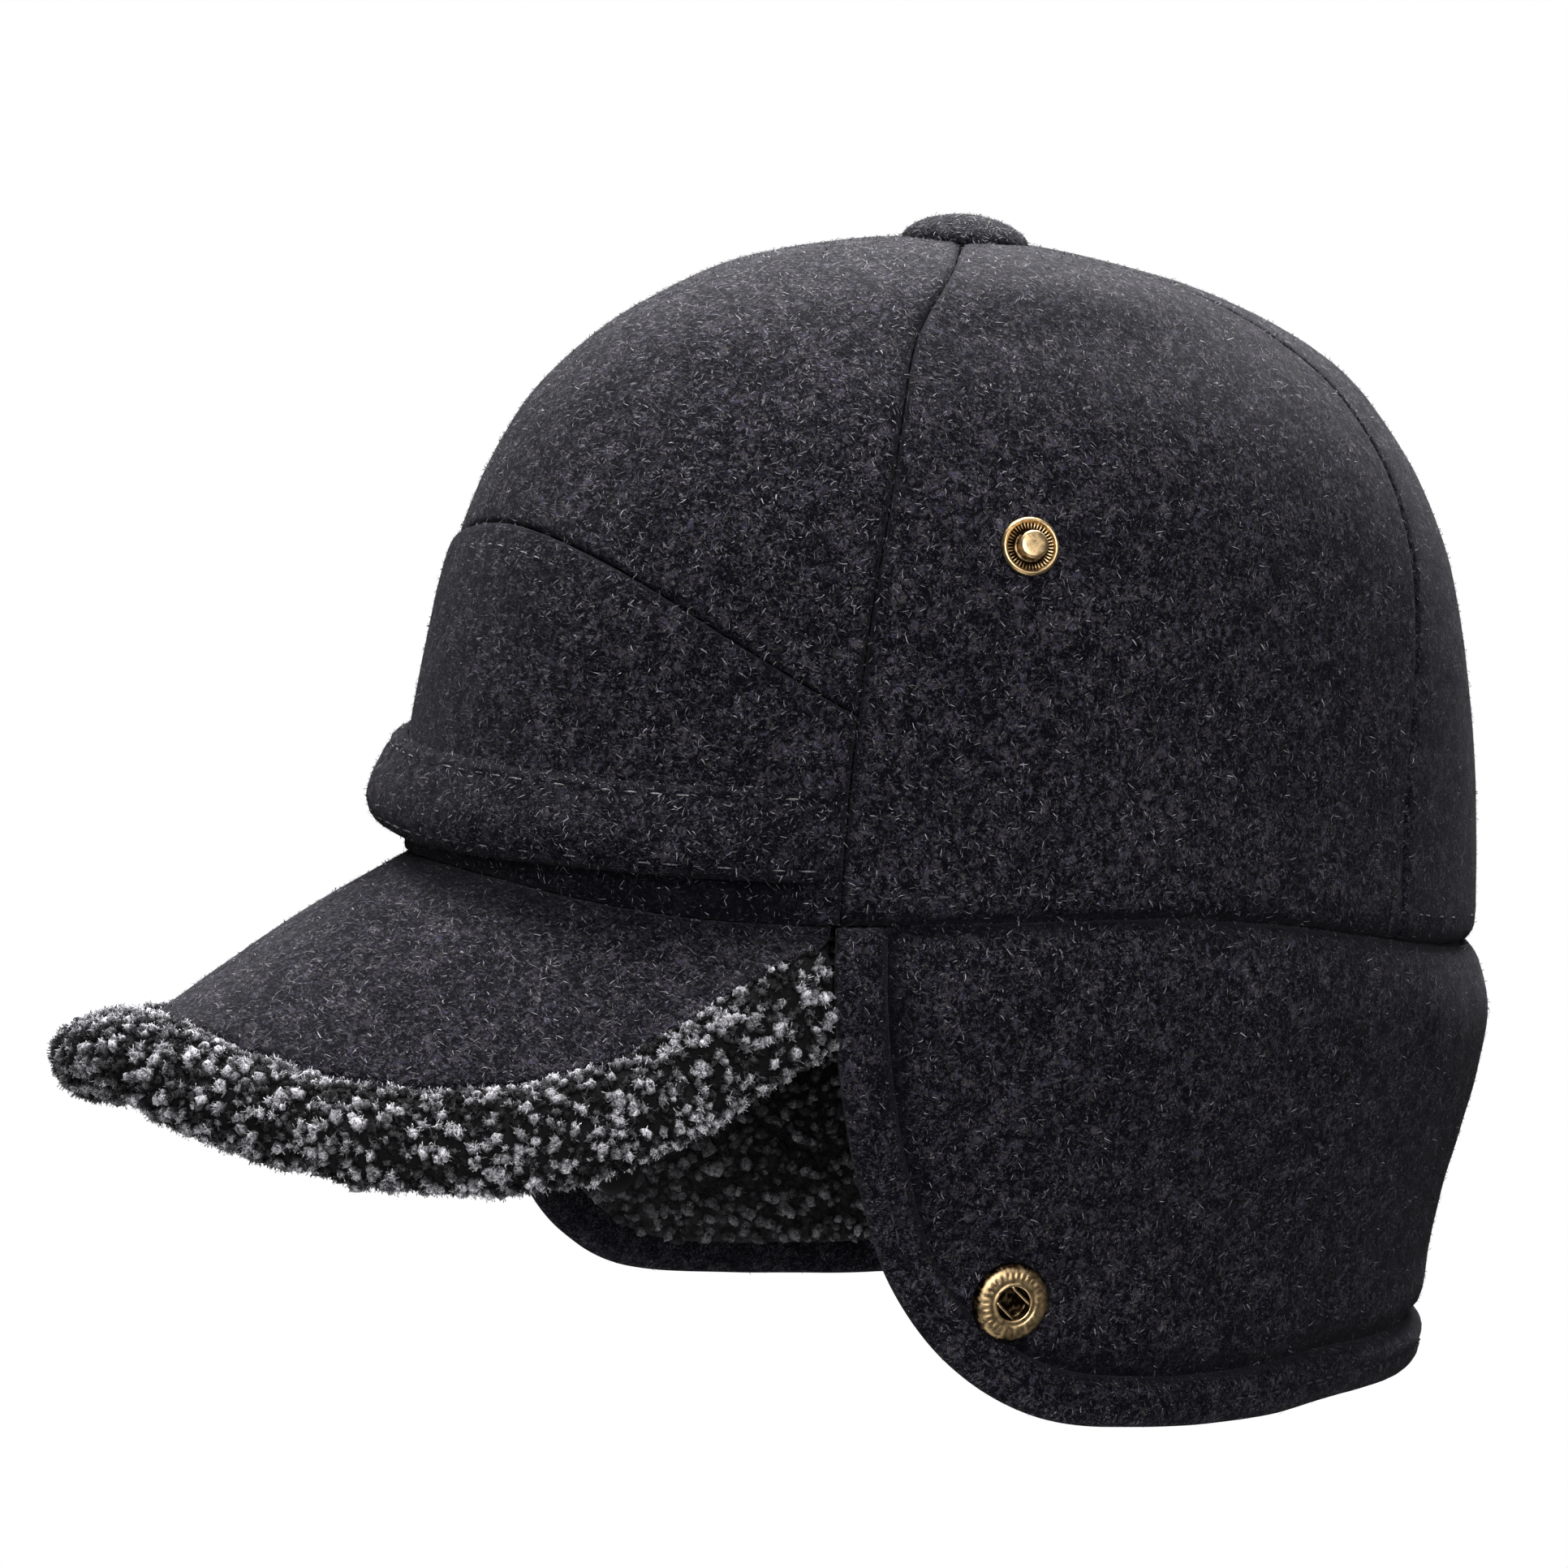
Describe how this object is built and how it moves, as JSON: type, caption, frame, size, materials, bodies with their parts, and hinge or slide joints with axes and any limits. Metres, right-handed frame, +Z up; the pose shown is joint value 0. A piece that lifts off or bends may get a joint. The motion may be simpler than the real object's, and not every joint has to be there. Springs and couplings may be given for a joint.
{
  "type": "earflap baseball cap",
  "caption": "Wool winter baseball cap with a fleece-edged peak, a padded front band and a continuous ear and neck flap with press studs.",
  "frame": {"origin": "middle of the head opening, level with the rim at the sides, where the head sits", "axes": "+Z up through the crown, the peak points towards -Y, the wearer's left is +X"},
  "size_m": [0.1776, 0.29, 0.2187],
  "materials": {
    "wool": "brushed wool melton, charcoal navy with pale flecks",
    "fleece": "curly pile fleece, black at the roots with pale grey tips",
    "dark_fleece": "short curly pile fleece, charcoal",
    "brass": "antique brass with brown patina",
    "snap_plastic": "smooth black moulded cap"
  },
  "bodies": {
    "root": {"crown_front_upper": "wool", "crown_front_lower": "wool", "front_band": "wool", "side_panel_left": "wool", "side_panel_right": "wool", "back_panel": "wool", "top_button": "wool", "brim": "wool", "ear_flap": "wool", "flap_hem": "wool", "brim_fleece": "fleece", "flap_lining": "dark_fleece", "stud_left": "brass", "socket_left": "brass", "snap_cap_left": "snap_plastic", "stud_right": "brass", "socket_right": "brass", "snap_cap_right": "snap_plastic"}
  },
  "joints": []
}
